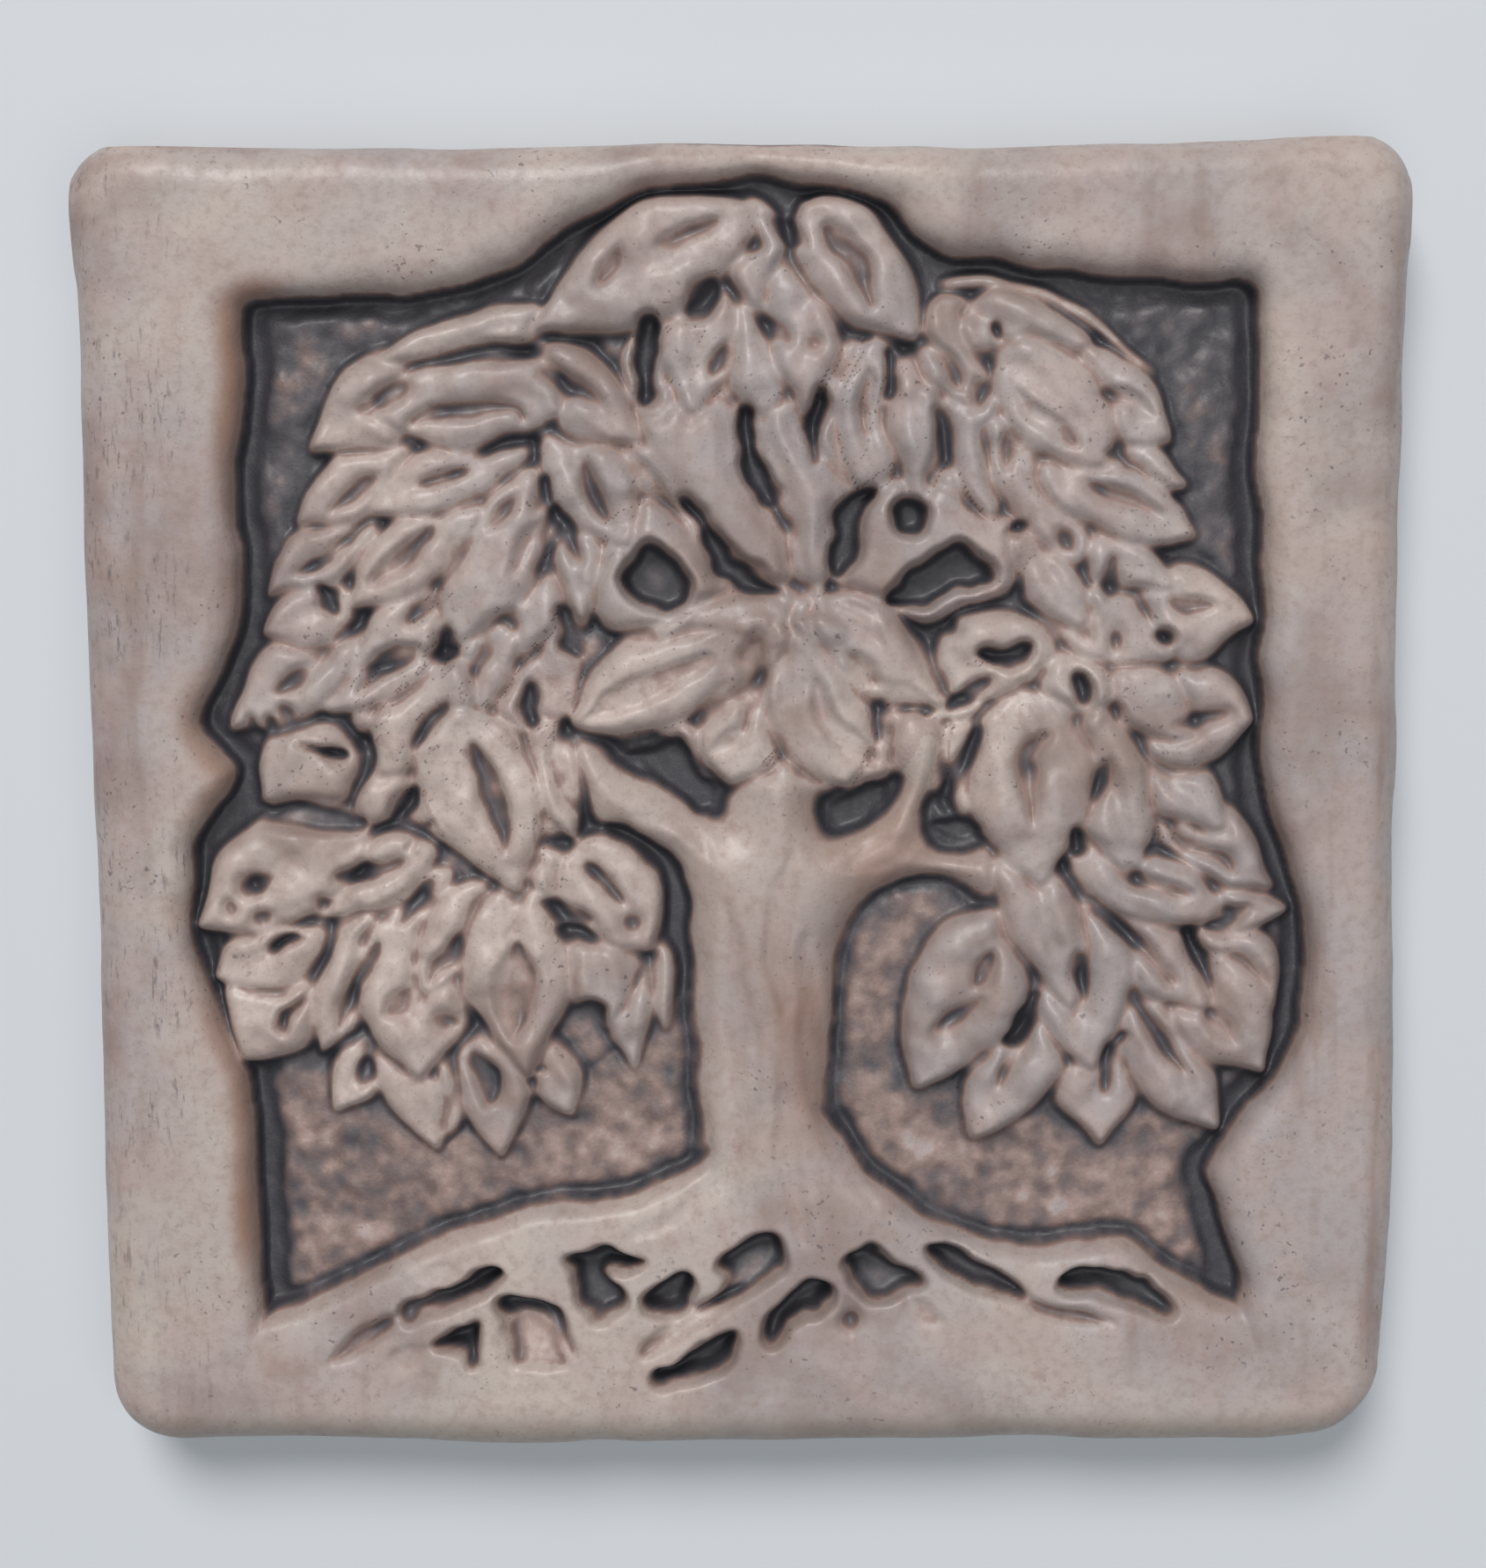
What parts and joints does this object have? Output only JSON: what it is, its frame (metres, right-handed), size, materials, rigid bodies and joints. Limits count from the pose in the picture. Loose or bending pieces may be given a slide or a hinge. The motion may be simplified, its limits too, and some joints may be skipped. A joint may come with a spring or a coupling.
{
  "type": "clay relief tile",
  "caption": "Square fired-clay relief tile with a spreading tree of large leaves, sunk behind a plain rounded border, with a blind hanging hole in its back.",
  "frame": {"origin": "middle of the flat back of the tile", "axes": "+Z out of the decorated face, +Y towards the top of the tree, +X to the right when facing the relief"},
  "size_m": [0.102, 0.102, 0.0101],
  "materials": {
    "clay_body": "pale pinkish fired clay, rubbed with a dark slate wash that stays in its recesses, satin",
    "clay_ground": "rough brownish clay under a dark slate wash, satin in the hollows",
    "clay_wood": "smoothed pale clay with brown and grey streaks of the wash",
    "clay_leaf": "pale clay, wiped clean on its crests and dark in its cuts"
  },
  "bodies": {
    "root": {"slab": "clay_body", "border": "clay_body", "ground_upper_left": "clay_ground", "ground_upper_right": "clay_ground", "ground_lower_left": "clay_ground", "ground_lower_right": "clay_ground", "bed": "clay_ground", "trunk": "clay_wood", "bough_fork": "clay_wood", "bough_up_left": "clay_wood", "bough_up_right": "clay_wood", "bough_side_left": "clay_wood", "bough_side_right": "clay_wood", "root_left": "clay_wood", "root_mid_left": "clay_wood", "root_mid": "clay_wood", "root_right": "clay_wood", "leaf_heart_1": "clay_leaf", "leaf_heart_4": "clay_leaf", "leaf_heart_3": "clay_leaf", "leaf_heart_2": "clay_leaf", "leaves_crown_1": "clay_leaf", "leaves_crown_3": "clay_leaf", "leaves_crown_2": "clay_leaf", "leaves_inner_3": "clay_leaf", "leaves_low_left_5": "clay_leaf", "leaves_low_left_4": "clay_leaf", "leaf_low_left_1": "clay_leaf", "leaves_low_left_2": "clay_leaf", "leaves_low_left_3": "clay_leaf", "leaves_near_trunk": "clay_leaf", "leaves_under_left": "clay_leaf", "leaves_left_1": "clay_leaf", "leaves_inner_1": "clay_leaf", "leaves_left_2": "clay_leaf", "leaves_left_3": "clay_leaf", "leaves_left_5": "clay_leaf", "leaves_left_4": "clay_leaf", "leaves_left_6": "clay_leaf", "leaves_left_8": "clay_leaf", "leaves_left_7": "clay_leaf", "leaves_inner_2": "clay_leaf", "leaves_mid_right_3": "clay_leaf", "leaves_low_right_1": "clay_leaf", "leaf_low_right_3": "clay_leaf", "leaf_low_right_2": "clay_leaf", "leaf_low_right_4": "clay_leaf", "leaves_low_right_6": "clay_leaf", "leaves_low_right_5": "clay_leaf", "leaves_right_2": "clay_leaf", "leaves_right_1": "clay_leaf", "leaves_right_4": "clay_leaf", "leaves_right_3": "clay_leaf", "leaves_right_5": "clay_leaf", "leaves_right_6": "clay_leaf", "leaves_mid_right_1": "clay_leaf", "leaves_mid_right_2": "clay_leaf", "leaves_edge_1": "clay_leaf", "leaves_edge_2": "clay_leaf", "leaves_edge_3": "clay_leaf"}
  },
  "joints": []
}
